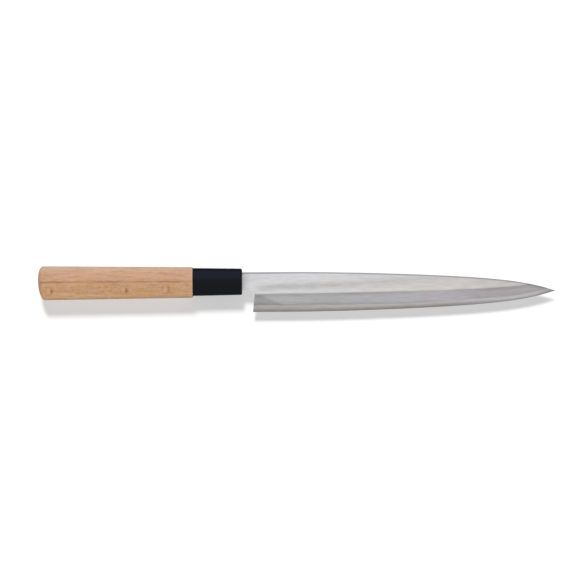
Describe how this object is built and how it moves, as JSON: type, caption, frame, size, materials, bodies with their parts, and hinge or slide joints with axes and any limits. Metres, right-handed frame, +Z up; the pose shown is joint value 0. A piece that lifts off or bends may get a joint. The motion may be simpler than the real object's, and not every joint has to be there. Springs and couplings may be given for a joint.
{
  "type": "sashimi knife",
  "caption": "Slender single-bevel slicing knife: laminated steel blade with a hollow back and a hidden tang, bedded in a D-shaped beech handle behind a black ferrule.",
  "frame": {"origin": "middle of the knife's box, on the surface that the handle lies on", "axes": "+X from the butt to the tip, +Y towards the spine, +Z up out of the bevelled side, with the hollow back down"},
  "size_m": [0.3466, 0.0316, 0.0191],
  "materials": {
    "soft_steel": "fine satin grain along the flat, hazier across the bevel",
    "hard_steel": "brighter fine-ground strip along the edge and hollow-ground back",
    "beech": "plain sanded beech with fine flecks along the grain",
    "black_plastic": "smooth moulded black with a soft gloss",
    "resin": "cast amber resin, hidden inside the handle"
  },
  "bodies": {
    "root": {"blade_body": "soft_steel", "edge_steel": "hard_steel", "handle_body": "beech", "ferrule": "black_plastic", "tang_bedding": "resin"}
  },
  "joints": []
}
